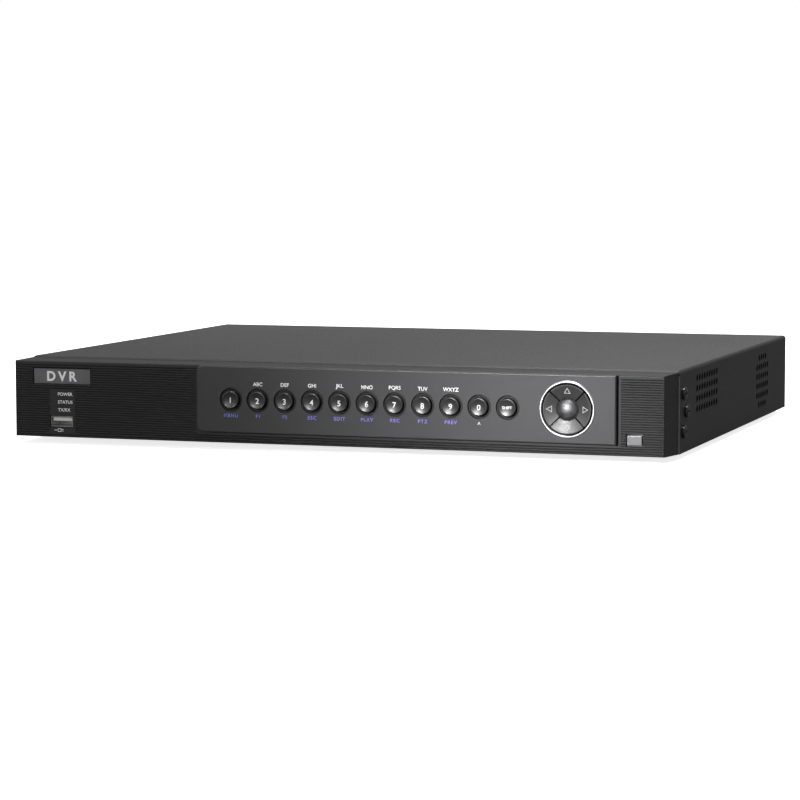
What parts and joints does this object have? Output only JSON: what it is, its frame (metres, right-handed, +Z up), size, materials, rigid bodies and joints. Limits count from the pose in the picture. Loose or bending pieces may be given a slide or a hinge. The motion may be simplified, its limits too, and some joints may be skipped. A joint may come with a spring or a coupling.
{
  "type": "digital video recorder",
  "caption": "Low steel digital video recorder with ridged dark bezel, round number keys, four-way pad, front USB socket and rear video sockets.",
  "frame": {"origin": "centre of the recorder's bounding box in plan, on the surface its rubber feet stand on", "axes": "+X to the right seen from the front, +Y from the front to the rear, +Z up"},
  "size_m": [0.3838, 0.3332, 0.048],
  "materials": {
    "case_paint": "fine textured powder coat",
    "rubber": "matt",
    "bezel_plastic": "fine ridges, satin",
    "panel_plastic": "satin, metallic grey",
    "black_plastic": "satin",
    "key_plastic": "satin grey",
    "pad_plastic": "satin grey",
    "rocker_plastic": "satin",
    "ring_chrome": "bright",
    "badge_metal": "satin",
    "lamp_plastic": "clear, unlit",
    "window_plastic": "smooth",
    "nickel": "nickel plate",
    "white_plastic": "moulded",
    "vga_plastic": "moulded",
    "green_plastic": "moulded",
    "circuit_board": "solder mask",
    "zinc_screws": "zinc plate",
    "black_screws": "black",
    "drive_metal": "cast and sheet",
    "brass": "plain",
    "cable_jacket": "satin"
  },
  "bodies": {
    "chassis": {"audio_jacks": "nickel", "badge_plate": "badge_metal", "base_tray": "case_paint", "board_cables": "cable_jacket", "board_components": "black_plastic", "board_screws": "zinc_screws", "cable_connectors": "white_plastic", "capacitors": "drive_metal", "case_screws": "black_screws", "chassis_screws": "zinc_screws", "coin_cell": "drive_metal", "drive_1": "drive_metal", "drive_2": "drive_metal", "drive_cables": "cable_jacket", "fan_frame": "black_plastic", "fan_screws": "zinc_screws", "front_bezel": "bezel_plastic", "front_board": "circuit_board", "hdmi_socket": "black_plastic", "heat_sink": "drive_metal", "ir_window": "window_plastic", "jack_housings": "black_plastic", "jack_inserts": "white_plastic", "key_guide": "black_plastic", "keypad_panel": "panel_plastic", "light_pipes": "lamp_plastic", "main_board": "circuit_board", "network_jack": "black_plastic", "pad_ring": "ring_chrome", "power_inlet": "black_plastic", "receiver_and_lamps": "black_plastic", "rubber_feet": "rubber", "standoffs": "brass", "switch_housing": "black_plastic", "tact_switches": "black_plastic", "terminal_block": "green_plastic", "top_cover": "case_paint", "usb_shells": "nickel", "usb_tongues": "white_plastic", "vga_posts": "nickel", "vga_socket": "vga_plastic", "video_jacks": "nickel"},
    "key_1": {"key_1": "key_plastic"},
    "key_2": {"key_2": "key_plastic"},
    "key_3": {"key_3": "key_plastic"},
    "key_4": {"key_4": "key_plastic"},
    "key_5": {"key_5": "key_plastic"},
    "key_6": {"key_6": "key_plastic"},
    "key_7": {"key_7": "key_plastic"},
    "key_8": {"key_8": "key_plastic"},
    "key_9": {"key_9": "key_plastic"},
    "key_0": {"key_0": "key_plastic"},
    "key_shift": {"key_shift": "key_plastic"},
    "arrow_up": {"arrow_up": "pad_plastic"},
    "arrow_down": {"arrow_down": "pad_plastic"},
    "arrow_left": {"arrow_left": "pad_plastic"},
    "arrow_right": {"arrow_right": "pad_plastic"},
    "enter_key": {"enter_key": "pad_plastic"},
    "fan_impeller": {"fan_impeller": "black_plastic"},
    "rocker": {"rocker": "rocker_plastic"}
  },
  "joints": [
    {"name": "key_1_press", "type": "slide", "parent": "chassis", "child": "key_1", "axis": [0, 1, 0], "range_m": [0, 0.0008], "stiffness_N_per_m": 600},
    {"name": "key_2_press", "type": "slide", "parent": "chassis", "child": "key_2", "axis": [0, 1, 0], "range_m": [0, 0.0008], "stiffness_N_per_m": 600},
    {"name": "key_3_press", "type": "slide", "parent": "chassis", "child": "key_3", "axis": [0, 1, 0], "range_m": [0, 0.0008], "stiffness_N_per_m": 600},
    {"name": "key_4_press", "type": "slide", "parent": "chassis", "child": "key_4", "axis": [0, 1, 0], "range_m": [0, 0.0008], "stiffness_N_per_m": 600},
    {"name": "key_5_press", "type": "slide", "parent": "chassis", "child": "key_5", "axis": [0, 1, 0], "range_m": [0, 0.0008], "stiffness_N_per_m": 600},
    {"name": "key_6_press", "type": "slide", "parent": "chassis", "child": "key_6", "axis": [0, 1, 0], "range_m": [0, 0.0008], "stiffness_N_per_m": 600},
    {"name": "key_7_press", "type": "slide", "parent": "chassis", "child": "key_7", "axis": [0, 1, 0], "range_m": [0, 0.0008], "stiffness_N_per_m": 600},
    {"name": "key_8_press", "type": "slide", "parent": "chassis", "child": "key_8", "axis": [0, 1, 0], "range_m": [0, 0.0008], "stiffness_N_per_m": 600},
    {"name": "key_9_press", "type": "slide", "parent": "chassis", "child": "key_9", "axis": [0, 1, 0], "range_m": [0, 0.0008], "stiffness_N_per_m": 600},
    {"name": "key_0_press", "type": "slide", "parent": "chassis", "child": "key_0", "axis": [0, 1, 0], "range_m": [0, 0.0008], "stiffness_N_per_m": 600},
    {"name": "key_shift_press", "type": "slide", "parent": "chassis", "child": "key_shift", "axis": [0, 1, 0], "range_m": [0, 0.0008], "stiffness_N_per_m": 600},
    {"name": "arrow_up_press", "type": "slide", "parent": "chassis", "child": "arrow_up", "axis": [0, 1, 0], "range_m": [0, 0.0008], "stiffness_N_per_m": 600},
    {"name": "arrow_down_press", "type": "slide", "parent": "chassis", "child": "arrow_down", "axis": [0, 1, 0], "range_m": [0, 0.0008], "stiffness_N_per_m": 600},
    {"name": "arrow_left_press", "type": "slide", "parent": "chassis", "child": "arrow_left", "axis": [0, 1, 0], "range_m": [0, 0.0008], "stiffness_N_per_m": 600},
    {"name": "arrow_right_press", "type": "slide", "parent": "chassis", "child": "arrow_right", "axis": [0, 1, 0], "range_m": [0, 0.0008], "stiffness_N_per_m": 600},
    {"name": "enter_key_press", "type": "slide", "parent": "chassis", "child": "enter_key", "axis": [0, 1, 0], "range_m": [0, 0.0008], "stiffness_N_per_m": 600},
    {"name": "fan_spin", "type": "hinge", "parent": "chassis", "child": "fan_impeller", "pos_m": [0.18, 0.0841, 0.0253], "axis": [1, 0, 0], "continuous": true},
    {"name": "rocker_tilt", "type": "hinge", "parent": "chassis", "child": "rocker", "pos_m": [-0.13, 0.1544, 0.024], "axis": [1, 0, 0], "range_deg": [0, 18]}
  ]
}
